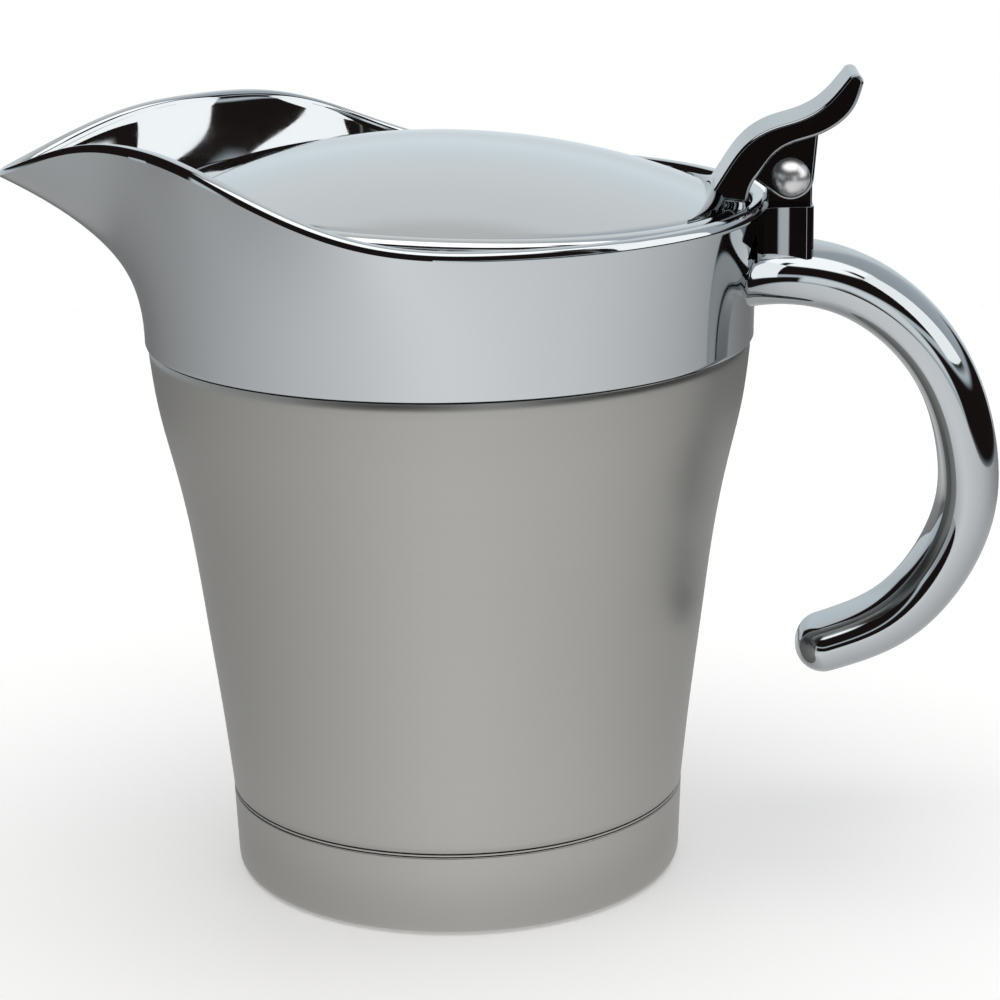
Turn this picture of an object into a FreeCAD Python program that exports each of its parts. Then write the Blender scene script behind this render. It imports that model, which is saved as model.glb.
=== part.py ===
import FreeCAD, Part
import math
import os

# Double-walled gravy boat with a hinged lid, modelled in millimetres.
# +Z is up, the spout points to -X and the handle to +X.
# The origin is the centre of the foot, on the plane that it stands on.

V = FreeCAD.Vector

# ---- body: a waisted steel beaker with a second wall inside it
SHEET = 0.8                 # thickness of all pressed steel
FOOT_RADIUS = 39.4
GROOVE_RADIUS = 39.9
GROOVE_LOW = 14.3
GROOVE_HIGH = 15.0
BEAD_INNER = 30.0           # stiffening bead pressed into the underside
BEAD_OUTER = 35.0
SEAM_RADIUS = 51.4
SEAM_HEIGHT = 94.6
BODY_OUTLINE = [(GROOVE_RADIUS, GROOVE_HIGH), (41.4, 29), (43.4, 45), (45.9, 63.5),
                (48.1, 74.5), (50.3, 84.5), (SEAM_RADIUS, 93.0)]
LINER_FLOOR = 7.2
LINER_OUTLINE = [(35.6, 18), (37.2, 36), (39.6, 54), (42.6, 70), (45.2, 82), (46.6, 90)]
LINER_CORNER = 10.0
MOUTH_RADIUS = 47.4

# ---- collar: rises from the seam to a rim that swings up and out into the spout
COLLAR_BOTTOM = 94.9
COLLAR_FOOT_RADIUS = 52.0
REAR_RADIUS = 54.3          # plan radius of the rim over the rear half
SIDE_FLARE = 7.2            # how much wider the rim is beside the lid's front
SIDE_FLARE_AT = 66.0        # degrees from the spout
SIDE_FLARE_SPREAD = 24.0
BEAK_LENGTH = 22.2          # how far the spout reaches past the rear radius
BEAK_SPREAD = 21.0          # degrees
RIM_HEIGHT = 118.6          # crest of the rim at the rear and sides
RIM_SWELL = 13.2            # extra height of the spout's cheeks
RIM_SWELL_AT = -49.0        # x of the highest point
RIM_SWELL_REAR = 32.0
RIM_SWELL_FRONT = 28.5
FLARE_POWER = 2.3           # the wall starts upright and leans out towards the rim
COLLAR_WALL = 2.4
LIP_WIDTH = 3.0
LIP_DROP = 1.3
RIM_POINTS = 60
FLANGE_INNER_RADIUS = 46.9
FLANGE_LOW = 95.8
FLANGE_HIGH = 97.4

# ---- lid: a domed disc with a sloping brim, tipped up a little towards the spout
LID_CENTRE = 1.5
LID_RADIUS = 49.2
LID_EDGE_HEIGHT = 118.85
LID_TILT = 2.4
BRIM_WIDTH = 2.9
BRIM_RISE = 0.95
DOME_RISE = 8.6
BRIM_DROP = 1.0
SEAT_INNER = 47.0
SEAT_OUTER = 51.2
SEAT_THICKNESS = 1.4
SEAT_FROM = 14.0            # the seat lies behind this x
SEAT_NOTCH = 9.0
WING_THICKNESS = 0.9
WING_INNER_RADIUS = 95.0    # the crescent's front edge, and where its centre lies
WING_INNER_CENTRE = -51.0

# ---- hinge
PIN_X = 57.6
PIN_Z = 122.6
PIN_RADIUS = 1.5
BUSH_RADIUS = 2.3
BUSH_CLEARANCE = 0.05
EAR_RADIUS = 3.9
EAR_INNER = 4.8
EAR_OUTER = 7.6
LUG_RADIUS = 3.8
LUG_HALF_WIDTH = 4.0
WASHER_THICKNESS = 0.5
WASHER_RADIUS = 3.6
BALL_RADIUS = 3.15
BALL_OUT = 1.0              # the ball's centre stands this far outside the ear
POST_REAR = 61.6
POST_TOP = 117.4
POST_FRONT = 48.0           # inside the collar's wall, which trims the post
POST_BOTTOM = 104.0         # inside the handle, which trims the post too
POST_HALF_WIDTH = 7.8
POST_FOOT_HALF_WIDTH = 16.5
POST_CORNER = 1.4
LEVER_HALF_WIDTH = 8.5

# ---- handle: a C with a crowned outer face and a free end, flared where it meets the collar
HANDLE_PATH = [(47.0, 105.9), (57.0, 105.8), (66.4, 104.0), (75.6, 98.8), (83.8, 89.2),
               (88.5, 76.2), (89.0, 64.5), (85.0, 53.6), (76.2, 43.8), (64.8, 38.9)]
HANDLE_THICKNESS = 10.5
HANDLE_HALF_WIDTH = 9.2
HANDLE_FLARE = 10.0
HANDLE_FLARE_REACH = 6.0
HANDLE_END_TAPER = 0.14
HANDLE_SECTIONS = 22

# ---- screws: (shank radius, head radius, head height), and where each kind sits
HANDLE_SCREW = (2.0, 3.4, 1.8)
HANDLE_SCREW_X = 46.8       # inner face of the head
HANDLE_SCREW_END = 61.6
HANDLE_SCREW_Y = 6.0
HANDLE_SCREW_Z = 104.6
POST_SCREW = (1.5, 2.9, 2.2)
POST_SCREW_X = 57.8
POST_SCREW_Z = 101.2        # underside of the head, sunk into the handle
POST_SCREW_END = 116.0
LEVER_SCREW = (1.4, 2.6, 1.5)
LEVER_SCREW_X = 46.6
LEVER_SCREW_Y = 5.0
LEVER_SCREW_Z = 113.7
LEVER_SCREW_END = 120.4


def at(x, z, y=0.0):
    return V(x, y, z)


def line(a, b):
    return Part.makeLine(at(*a), at(*b))


def polyline(points):
    return [line(a, b) for a, b in zip(points, points[1:])]


def arc(a, middle, b):
    return Part.Arc(at(*a), at(*middle), at(*b)).toShape()


def spline(points):
    curve = Part.BSplineCurve()
    curve.interpolate([at(*p) for p in points])
    return curve.toShape()


def shifted(points, radial):
    """The same outline, moved in or out by a sheet's thickness."""
    return [(r + radial, z) for r, z in points]


def revolved(edges, centre_x=0.0):
    """Solid of revolution of a closed profile drawn as (radius, height)."""
    face = Part.Face(Part.Wire(edges))
    solid = face.revolve(V(0, 0, 0), V(0, 0, 1), 360)
    solid.translate(V(centre_x, 0, 0))
    return solid


def ring(inner, outer, low, high, centre_x=0.0):
    body = Part.makeCylinder(outer, high - low, V(centre_x, 0, low))
    return body.cut(Part.makeCylinder(inner, high - low, V(centre_x, 0, low)))


def across(radius, half_width, x=PIN_X, z=PIN_Z):
    """Cylinder along the hinge axis, centred on the middle plane."""
    return Part.makeCylinder(radius, 2 * half_width, V(x, -half_width, z), V(0, 1, 0))


def slab(edges, y_low, y_high):
    """A side profile given a width."""
    face = Part.Face(Part.Wire(edges))
    face.translate(V(0, y_low, 0))
    return face.extrude(V(0, y_high - y_low, 0))


def tipped(shape):
    """Tilt a lid piece with the lid, about the lid's centre."""
    shape.rotate(V(LID_CENTRE, 0, LID_EDGE_HEIGHT), V(0, 1, 0), LID_TILT)
    return shape


# ------------------------------------------------------------------ body

def outer_shell():
    inner = shifted(BODY_OUTLINE[1:], -SHEET)
    spigot = GROOVE_RADIUS - SHEET - 0.1
    inner_start = (BODY_OUTLINE[0][0] - SHEET + 0.15, GROOVE_HIGH + 1.4)
    top_outer = (SEAM_RADIUS, SEAM_HEIGHT)
    top_inner = (SEAM_RADIUS - SHEET, SEAM_HEIGHT)
    edges = [spline(BODY_OUTLINE)]
    edges += polyline([BODY_OUTLINE[-1], top_outer, top_inner, inner[-1]])
    edges += [spline(list(reversed(inner)) + [inner_start])]
    edges += polyline([inner_start, (spigot - SHEET, GROOVE_HIGH), (spigot - SHEET, 10.0),
                       (spigot, 10.0), (spigot, GROOVE_HIGH), BODY_OUTLINE[0]])
    return revolved(edges)


def base_cap():
    """Foot: a flat-bottomed pressed cap with a stiffening bead, pushed onto the spigot."""
    edges = polyline([(0, 0), (BEAD_INNER, 0), (BEAD_INNER + 1, SHEET), (BEAD_OUTER - 1, SHEET),
                      (BEAD_OUTER, 0), (37.0, 0)])
    edges += [arc((37.0, 0), (38.75, 0.75), (FOOT_RADIUS, 2.6))]
    edges += polyline([(FOOT_RADIUS, 2.6), (GROOVE_RADIUS, GROOVE_LOW),
                       (GROOVE_RADIUS - SHEET - 0.1, GROOVE_LOW), (FOOT_RADIUS - SHEET, 2.8)])
    edges += [arc((FOOT_RADIUS - SHEET, 2.8), (38.0, 1.35), (36.8, 0.8))]
    edges += polyline([(36.8, 0.8), (35.4, 0.8), (34.4, 2 * SHEET), (30.4, 2 * SHEET),
                       (29.4, SHEET), (0, SHEET), (0, 0)])
    return revolved(edges)


def liner_wall(offset):
    """Edges of one face of the liner, from its middle to below its mouth."""
    floor = LINER_FLOOR - offset
    side = shifted(LINER_OUTLINE, offset)
    start = side[0][0]
    flat_end = (start - LINER_CORNER, floor)
    bend = (start - LINER_CORNER * 0.30, floor + LINER_CORNER * 0.28)
    return [line((0, floor), flat_end), arc(flat_end, bend, side[0]), spline(side)]


def inner_liner():
    """The vessel that holds the gravy, with a flange that closes the two walls."""
    outside = liner_wall(0)
    inside = liner_wall(-SHEET)
    outer_end = LINER_OUTLINE[-1]
    inner_end = (outer_end[0] - SHEET, outer_end[1])
    flange = SEAM_RADIUS - SHEET
    rim = polyline([outer_end, (MOUTH_RADIUS + 0.4, SEAM_HEIGHT - SHEET),
                    (flange, SEAM_HEIGHT - SHEET), (flange, SEAM_HEIGHT),
                    (MOUTH_RADIUS, SEAM_HEIGHT), inner_end])
    middle = [line((0, LINER_FLOOR + SHEET), (0, LINER_FLOOR))]
    return revolved(outside + rim + list(reversed(inside)) + middle)


def liner_seal():
    return ring(MOUTH_RADIUS, 49.4, SEAM_HEIGHT, FLANGE_LOW)


# ------------------------------------------------------------------ collar

def rim_radius(angle):
    """Plan radius of the rim; the angle is in degrees from the spout."""
    flare = SIDE_FLARE * math.exp(-((angle - SIDE_FLARE_AT) / SIDE_FLARE_SPREAD) ** 2)
    sweep = (angle / BEAK_SPREAD) ** 2 + 0.02
    beak = BEAK_LENGTH * math.exp(0.07 - sweep ** 0.68)
    return REAR_RADIUS + flare + beak


def rim_height(x):
    reach = RIM_SWELL_REAR if x > RIM_SWELL_AT else RIM_SWELL_FRONT
    return RIM_HEIGHT + RIM_SWELL * math.exp(-abs((x - RIM_SWELL_AT) / reach) ** 2.4)


def collar_ring(rise, inset, drop=0.0):
    """Closed curve on the collar: rise 0 is its foot and 1 its rim."""
    points = []
    for step in range(RIM_POINTS):
        turn = 360.0 * step / RIM_POINTS
        angle = min(turn, 360.0 - turn)
        top = rim_radius(angle)
        crest = rim_height(-top * math.cos(math.radians(angle))) - drop
        radius = COLLAR_FOOT_RADIUS + (top - COLLAR_FOOT_RADIUS) * rise ** FLARE_POWER - inset
        height = COLLAR_BOTTOM + (crest - COLLAR_BOTTOM) * rise
        spin = math.radians(180.0 - turn)
        points.append(V(radius * math.cos(spin), radius * math.sin(spin), height))
    curve = Part.BSplineCurve()
    curve.interpolate(points, PeriodicFlag=True)
    return Part.Wire([curve.toShape()])


def closed_solid(faces):
    shell = Part.makeShell(faces)
    shell.sewShape(0.001)
    return Part.makeSolid(shell)


def collar_wall():
    rises = [0.0, 0.2, 0.4, 0.6, 0.8, 0.92, 1.0]
    outside = [collar_ring(rise, 0.0, LIP_DROP) for rise in rises]
    inside = [collar_ring(rise, COLLAR_WALL, LIP_DROP) for rise in rises[:-2]]
    inside.append(collar_ring(rises[-1], LIP_WIDTH, LIP_DROP))
    crest = [outside[-1], collar_ring(1.0, 0.35, LIP_DROP * 0.3), collar_ring(1.0, LIP_WIDTH / 2),
             collar_ring(1.0, LIP_WIDTH - 0.35, LIP_DROP * 0.3), inside[-1]]
    faces = []
    for wires in (outside, crest, inside):
        faces += Part.makeLoft(wires, False).Faces
    faces += Part.Face(outside[0]).cut(Part.Face(inside[0])).Faces
    return closed_solid(faces)


def lid_seat():
    """Ledge round the rear of the mouth that carries the closed lid, notched for its screws."""
    top = LID_EDGE_HEIGHT - BRIM_DROP - 0.15
    ledge = ring(SEAT_INNER, SEAT_OUTER, top - SEAT_THICKNESS, top, LID_CENTRE)
    keep = Part.makeBox(60, 140, 40, V(SEAT_FROM, -70, 100))
    notch = Part.makeBox(14, 2 * SEAT_NOTCH, 40, V(38, -SEAT_NOTCH, 100))
    return tipped(ledge).common(keep).cut(notch)


def spout_collar():
    flange = ring(FLANGE_INNER_RADIUS, COLLAR_FOOT_RADIUS - COLLAR_WALL + 0.6,
                  FLANGE_LOW, FLANGE_HIGH)
    body = collar_wall().fuse([flange, lid_seat()])
    return body.cut(handle_screw_shanks())


def collar_rear_form():
    """The collar's rear half as a plain solid of revolution, for fitting pieces to it."""
    steps = [i / 8 for i in range(9)]
    top = RIM_HEIGHT - LIP_DROP
    wall = [(COLLAR_FOOT_RADIUS + (REAR_RADIUS - COLLAR_FOOT_RADIUS) * s ** FLARE_POWER,
             COLLAR_BOTTOM + (top - COLLAR_BOTTOM) * s) for s in steps]
    edges = [line((0, COLLAR_BOTTOM), wall[0]), spline(wall)]
    edges += polyline([wall[-1], (REAR_RADIUS, 140), (0, 140), (0, COLLAR_BOTTOM)])
    return revolved(edges)


# ------------------------------------------------------------------ handle

def handle_section(centre, outward, half_width, thickness):
    """Cross-section: crowned outside, flatter inside, rounded sides."""
    half = thickness / 2
    outline = [(0, half), (0.55, 0.86 * half), (0.92, 0.36 * half), (0.98, -0.25 * half),
               (0.72, -0.86 * half), (0.30, -half)]
    side = [(w * half_width, t) for w, t in outline]
    loop = side + [(-w, t) for w, t in reversed(side[1:])]
    curve = Part.BSplineCurve()
    curve.interpolate([centre + outward * t + V(0, w, 0) for w, t in loop], PeriodicFlag=True)
    return Part.Wire([curve.toShape()])


def handle_line():
    path = Part.BSplineCurve()
    path.interpolate([at(*p) for p in HANDLE_PATH])
    return path


def handle_body():
    """The C, lofted through sections along its line and closed by a rounded nose."""
    path = handle_line()
    length = path.length()
    sections = []
    for step in range(HANDLE_SECTIONS):
        travel = length * step / (HANDLE_SECTIONS - 1)
        place = path.parameterAtDistance(travel)
        forward = path.tangent(place)[0]
        outward = V(-forward.z, 0, forward.x)
        flare = math.exp(-(travel / HANDLE_FLARE_REACH) ** 1.4)
        taper = 1 - HANDLE_END_TAPER * (travel / length) ** 2
        sections.append(handle_section(path.value(place), outward,
                                       (HANDLE_HALF_WIDTH + HANDLE_FLARE * flare) * taper,
                                       HANDLE_THICKNESS * taper))
    nose = []
    for advance, size in ((0.0, 1.0), (1.9, 0.94), (3.4, 0.77), (4.4, 0.5), (4.9, 0.2)):
        nose.append(handle_section(path.value(place) + forward * advance, outward,
                                   HANDLE_HALF_WIDTH * taper * size,
                                   HANDLE_THICKNESS * taper * size))
    return Part.makeLoft(sections, True).fuse(Part.makeLoft(nose, True))


def shank(sizes, head_start, length, direction):
    """The plain shank of a screw, from under its head."""
    radius, head_radius, head_height = sizes
    return Part.makeCylinder(radius, length - head_height, head_start + direction * head_height,
                             direction)


def screw(sizes, head_start, length, direction):
    radius, head_radius, head_height = sizes
    head = Part.makeCylinder(head_radius, head_height, head_start, direction)
    return head.fuse(shank(sizes, head_start, length, direction))


def handle_screw_places():
    length = HANDLE_SCREW_END - HANDLE_SCREW_X
    return [(HANDLE_SCREW, V(HANDLE_SCREW_X, side * HANDLE_SCREW_Y, HANDLE_SCREW_Z), length,
             V(1, 0, 0)) for side in (-1, 1)]


def handle_screw_shanks():
    return [shank(*place) for place in handle_screw_places()]


def handle_screws():
    return Part.makeCompound([screw(*place) for place in handle_screw_places()])


def post_screw_place():
    return (POST_SCREW, V(POST_SCREW_X, 0, POST_SCREW_Z), POST_SCREW_END - POST_SCREW_Z,
            V(0, 0, 1))


def post_screw():
    return screw(*post_screw_place())


def handle():
    """The C with its root trimmed to the collar, drilled, and counterbored from below."""
    body = handle_body().cut(collar_rear_form())
    bore = Part.makeCylinder(POST_SCREW[1], 8, V(POST_SCREW_X, 0, POST_SCREW_Z + POST_SCREW[2] - 8))
    return body.cut(handle_screw_shanks() + [shank(*post_screw_place()), bore])


# ------------------------------------------------------------------ hinge

def post_solid():
    """Block on the handle's root, flared against the collar, with the hinge lug on top."""
    inset = POST_CORNER * 0.3
    plan = [(POST_FRONT, POST_FOOT_HALF_WIDTH), (52.6, 9.8), (57.0, POST_HALF_WIDTH),
            (POST_REAR - POST_CORNER, POST_HALF_WIDTH),
            (POST_REAR - inset, POST_HALF_WIDTH - inset),
            (POST_REAR, POST_HALF_WIDTH - POST_CORNER)]
    corners = {side: [V(x, side * y, POST_BOTTOM) for x, y in plan] for side in (1, -1)}

    def edges(side):
        points = corners[side]
        return [Part.Arc(*points[:3]).toShape(), Part.makeLine(*points[2:4]),
                Part.Arc(*points[3:]).toShape()]

    rear = Part.makeLine(corners[1][-1], corners[-1][-1])
    front = Part.makeLine(corners[-1][0], corners[1][0])
    outline = Part.Wire(edges(1) + [rear] + list(reversed(edges(-1))) + [front])
    block = Part.Face(outline).extrude(V(0, 0, POST_TOP - POST_BOTTOM))
    neck = Part.makeBox(2 * LUG_RADIUS, 2 * LUG_HALF_WIDTH, PIN_Z - POST_TOP + 1,
                        V(PIN_X - LUG_RADIUS, -LUG_HALF_WIDTH, POST_TOP - 1))
    return block.fuse([neck, across(LUG_RADIUS, LUG_HALF_WIDTH)])


def hinge_post():
    post = post_solid().cut(across(BUSH_RADIUS, 10))
    return post.cut([collar_rear_form(), handle_body(), shank(*post_screw_place())])


def hinge_bush():
    bush = across(BUSH_RADIUS, LUG_HALF_WIDTH)
    return bush.cut(across(PIN_RADIUS + BUSH_CLEARANCE, LUG_HALF_WIDTH))


def hinge_pin():
    shank = Part.makeCylinder(PIN_RADIUS, 2 * EAR_OUTER + 1.6, V(PIN_X, -EAR_OUTER, PIN_Z),
                              V(0, 1, 0))
    ball = Part.makeSphere(BALL_RADIUS, V(PIN_X, -EAR_OUTER - BALL_OUT, PIN_Z))
    outside = Part.makeBox(12, 8, 12, V(PIN_X - 6, -EAR_OUTER - 8, PIN_Z - 6))
    return shank.fuse(ball.common(outside))


def pin_nut():
    ball = Part.makeSphere(BALL_RADIUS, V(PIN_X, EAR_OUTER + BALL_OUT, PIN_Z))
    outside = Part.makeBox(12, 8, 12, V(PIN_X - 6, EAR_OUTER, PIN_Z - 6))
    bore = Part.makeCylinder(PIN_RADIUS, 1.6, V(PIN_X, EAR_OUTER, PIN_Z), V(0, 1, 0))
    return ball.common(outside).cut(bore)


def hinge_washers():
    washers = []
    for side in (-1, 1):
        middle = side * (EAR_INNER - WASHER_THICKNESS / 2)
        low = V(PIN_X, middle - WASHER_THICKNESS / 2, PIN_Z)
        disc = Part.makeCylinder(WASHER_RADIUS, WASHER_THICKNESS, low, V(0, 1, 0))
        hole = Part.makeCylinder(PIN_RADIUS, WASHER_THICKNESS, low, V(0, 1, 0))
        washers.append(disc.cut(hole))
    return Part.makeCompound(washers)


# ------------------------------------------------------------------ lid

def dome_arc(offset):
    """Crown of the lid from its middle to the brim, moved out by the offset."""
    foot = LID_RADIUS - BRIM_WIDTH
    curve = (foot ** 2 + DOME_RISE ** 2) / (2 * DOME_RISE)
    top = LID_EDGE_HEIGHT + BRIM_RISE + DOME_RISE
    radius = curve + offset
    centre = top - curve
    end_angle = math.asin(foot / curve)
    half = end_angle / 2
    start = (0, centre + radius)
    middle = (radius * math.sin(half), centre + radius * math.cos(half))
    end = (radius * math.sin(end_angle), centre + radius * math.cos(end_angle))
    return arc(start, middle, end), start, end


def lid_dome():
    crown, apex, shoulder = dome_arc(0)
    under, under_apex, under_shoulder = dome_arc(-SHEET)
    edge_top = (LID_RADIUS, LID_EDGE_HEIGHT)
    edge_low = (LID_RADIUS, LID_EDGE_HEIGHT - BRIM_DROP)
    inner_low = (LID_RADIUS - SHEET, LID_EDGE_HEIGHT - BRIM_DROP)
    inner_top = (LID_RADIUS - SHEET, LID_EDGE_HEIGHT - 0.5)
    edges = [crown] + polyline([shoulder, edge_top, edge_low, inner_low, inner_top,
                                under_shoulder])
    edges += [under, line(under_apex, apex)]
    body = tipped(revolved(edges, LID_CENTRE))
    return body.cut(lever_screw_shanks())


def lid_pan():
    """Flat inner skin of the lid, tucked inside the brim."""
    low = LID_EDGE_HEIGHT - BRIM_DROP
    rim = LID_RADIUS - SHEET
    edges = polyline([(0, low - 0.6), (rim - 5, low - 0.6), (rim - 3.4, low), (rim, low),
                      (rim, low + 0.45), (rim - 3.6, low + 0.45), (rim - 5.2, low + 0.2),
                      (0, low + 0.2), (0, low - 0.6)])
    body = tipped(revolved(edges, LID_CENTRE))
    return body.cut(lever_screw_shanks())


def lid_wing():
    """Crescent that spreads the lever's pull along the rear of the lid."""
    low, low_apex, low_end = dome_arc(0)
    high, high_apex, high_end = dome_arc(WING_THICKNESS)
    edges = [low, line(low_end, high_end), high, line(high_apex, low_apex)]
    body = revolved(edges, LID_CENTRE)
    body = body.cut(Part.makeCylinder(WING_INNER_RADIUS, 60, V(WING_INNER_CENTRE, 0, 100)))
    behind = Part.makeBox(60, 100, 60, V(LID_CENTRE + 20, -50, 100))
    return tipped(body.common(behind)).cut(lever_screw_shanks())


def lever_side():
    """Side profile of the thumb lever: a foot on the lid, an S, and a rolled tip."""
    top = [(43.6, 118.6), (46.6, 123.3), (50.0, 127.9), (54.4, 130.7), (58.6, 132.0),
           (62.4, 133.9), (65.2, 136.6), (66.8, 138.6)]
    tip = (68.3, 139.1)
    low = [(69.2, 137.4), (67.8, 133.8), (65.0, 131.0), (61.6, 129.3), (58.0, 128.2),
           (55.2, 126.6), (52.9, 123.8), (51.2, 121.4), (50.4, 118.4)]
    return [spline(top), arc(top[-1], tip, low[0]), spline(low), line(low[-1], top[0])]


def ear_side():
    """Side profile of one hinge ear, rounded under the pin."""
    front = (51.4, 122.2)
    rear_top = (62.2, 130.2)
    front_angle = math.radians(235)
    tangent = (PIN_X + EAR_RADIUS * math.cos(front_angle),
               PIN_Z + EAR_RADIUS * math.sin(front_angle))
    bottom = (PIN_X + EAR_RADIUS * math.cos(math.radians(300)),
              PIN_Z + EAR_RADIUS * math.sin(math.radians(300)))
    rear = (PIN_X + EAR_RADIUS, PIN_Z)
    return ([line(front, tangent), arc(tangent, bottom, rear)]
            + polyline([rear, rear_top, (57.6, 130.0), (52.6, 126.6), front]))


def thumb_lever():
    blade = slab(lever_side(), -LEVER_HALF_WIDTH, LEVER_HALF_WIDTH)
    ears = [slab(ear_side(), side * EAR_INNER, side * EAR_OUTER) for side in (-1, 1)]
    body = blade.fuse(ears)
    body = body.cut(across(PIN_RADIUS, 12))
    return body.cut([lid_volume()] + lever_screw_shanks())


def lid_volume():
    """Everything under the top of the lid and its wing, to seat the lever on them."""
    high, apex, end = dome_arc(WING_THICKNESS)
    brim_top = (LID_RADIUS, LID_EDGE_HEIGHT)
    edges = [high] + polyline([end, dome_arc(0)[2], brim_top, (LID_RADIUS, 100), (0, 100), apex])
    return tipped(revolved(edges, LID_CENTRE))


def lever_screw_places():
    length = LEVER_SCREW_END - LEVER_SCREW_Z
    return [(LEVER_SCREW, V(LEVER_SCREW_X, side * LEVER_SCREW_Y, LEVER_SCREW_Z), length,
             V(0, 0, 1)) for side in (-1, 1)]


def lever_screw_shanks():
    return [shank(*place) for place in lever_screw_places()]


def lever_screws():
    return Part.makeCompound([screw(*place) for place in lever_screw_places()])


PIECES = [outer_shell, base_cap, inner_liner, liner_seal, spout_collar, handle, handle_screws,
          hinge_post, post_screw, hinge_bush, hinge_pin, pin_nut, hinge_washers,
          lid_dome, lid_pan, lid_wing, thumb_lever, lever_screws]

os.makedirs("parts", exist_ok=True)
for piece in PIECES:
    shape = piece()
    box = shape.BoundBox
    print(f"{piece.__name__:16s} solids {len(shape.Solids)} valid {shape.isValid()} "
          f"volume {shape.Volume:9.1f} x {box.XMin:.1f}..{box.XMax:.1f} "
          f"y {box.YMin:.1f}..{box.YMax:.1f} z {box.ZMin:.1f}..{box.ZMax:.1f}")
    shape.exportStep(f"parts/{piece.__name__}.step")
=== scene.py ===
import math

import bmesh
import bpy
import numpy as np
from mathutils import Matrix, Vector
from mathutils.bvhtree import BVHTree


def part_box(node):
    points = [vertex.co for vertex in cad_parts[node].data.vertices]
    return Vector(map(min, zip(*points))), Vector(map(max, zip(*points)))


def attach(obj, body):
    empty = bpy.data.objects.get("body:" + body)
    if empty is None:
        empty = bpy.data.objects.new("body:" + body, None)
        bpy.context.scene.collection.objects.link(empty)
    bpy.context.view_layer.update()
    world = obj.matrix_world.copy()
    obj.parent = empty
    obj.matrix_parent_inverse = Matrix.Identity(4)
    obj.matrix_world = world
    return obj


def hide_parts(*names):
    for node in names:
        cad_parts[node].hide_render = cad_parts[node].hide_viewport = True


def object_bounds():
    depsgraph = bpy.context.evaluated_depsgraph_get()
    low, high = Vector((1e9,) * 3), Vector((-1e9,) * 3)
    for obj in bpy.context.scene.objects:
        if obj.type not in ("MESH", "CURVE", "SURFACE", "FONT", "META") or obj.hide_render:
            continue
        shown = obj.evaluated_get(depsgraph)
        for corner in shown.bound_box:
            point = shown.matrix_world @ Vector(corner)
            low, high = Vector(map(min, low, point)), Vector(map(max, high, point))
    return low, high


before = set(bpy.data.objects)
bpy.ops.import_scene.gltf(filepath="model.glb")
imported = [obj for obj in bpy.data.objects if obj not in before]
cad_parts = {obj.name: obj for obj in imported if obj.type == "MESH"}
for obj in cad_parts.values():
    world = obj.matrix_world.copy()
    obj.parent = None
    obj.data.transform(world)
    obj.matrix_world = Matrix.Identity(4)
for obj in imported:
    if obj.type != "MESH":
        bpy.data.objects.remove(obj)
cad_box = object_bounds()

# Looks of the gravy boat. Shapes are worked out in millimetres from the frame's own boxes,
# with the spout towards -X, the handle towards +X and the camera on the -Y side.
MM = 0.001
TURNS = 240                 # columns round a turned piece
GAP = 0.02                  # how far a piece sinks into the one it is fixed to


def node_box(name):
    low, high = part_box(name)
    return Vector(low) / MM, Vector(high) / MM


foot_low, foot_high = node_box("base_cap")
shell_low, shell_high = node_box("outer_shell")
liner_low, liner_high = node_box("inner_liner")
seal_low, seal_high = node_box("liner_seal")
collar_low, collar_high = node_box("spout_collar")
handle_low, handle_high = node_box("handle")
post_low, post_high = node_box("hinge_post")
pin_low, pin_high = node_box("hinge_pin")
nut_low, nut_high = node_box("pin_nut")
bush_low, bush_high = node_box("hinge_bush")
dome_low, dome_high = node_box("lid_dome")
lever_low, lever_high = node_box("thumb_lever")

# ---- body
SHEET = 0.8
SEAM_RADIUS = shell_high.x
WALL_START = foot_high.z + 0.7      # the groove is the gap between foot and wall
BEAD_INNER = 30.0
BEAD_OUTER = 35.0
BODY_SHAPE = [(0.0, 0.776), (0.176, 0.805), (0.377, 0.844), (0.609, 0.893), (0.747, 0.936),
              (0.873, 0.979), (0.98, 1.0)]      # share of the wall's height, of its top radius
LINER_SHAPE = [(35.6, 18), (37.2, 36), (39.6, 54), (42.6, 70), (45.2, 82), (46.6, 90)]
LINER_CORNER = 10.0
MOUTH_RADIUS = 47.4

# ---- collar
REAR_RADIUS = collar_high.x
COLLAR_BOTTOM = collar_low.z
COLLAR_FOOT_RADIUS = SEAM_RADIUS + 0.6
COLLAR_WALL = 2.4
RING_STEPS = 480            # columns round the collar
RIM_HEIGHT = 118.6
RIM_SWELL = collar_high.z - RIM_HEIGHT
RIM_SWELL_AT = -49.0
RIM_SWELL_REAR = 32.0
RIM_SWELL_FRONT = 28.5
SIDE_FLARE = 7.2
SIDE_FLARE_AT = 66.0
SIDE_FLARE_SPREAD = 24.0
BEAK_SPREAD = 21.0
BEAK_POWER = 0.68
BEAK_BLUNT = 0.02
FLARE_POWER = 2.3
LIP_WIDTH = 3.0
LIP_DROP = 1.3
LIP_SHAPE = [(0.0, 1.3), (0.12, 0.92), (0.5, 0.26), (0.85, 0.06), (1.5, 0.0), (2.3, 0.1),
             (2.8, 0.5), (LIP_WIDTH, LIP_DROP)]     # inset from the wall, drop below the crest

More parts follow.
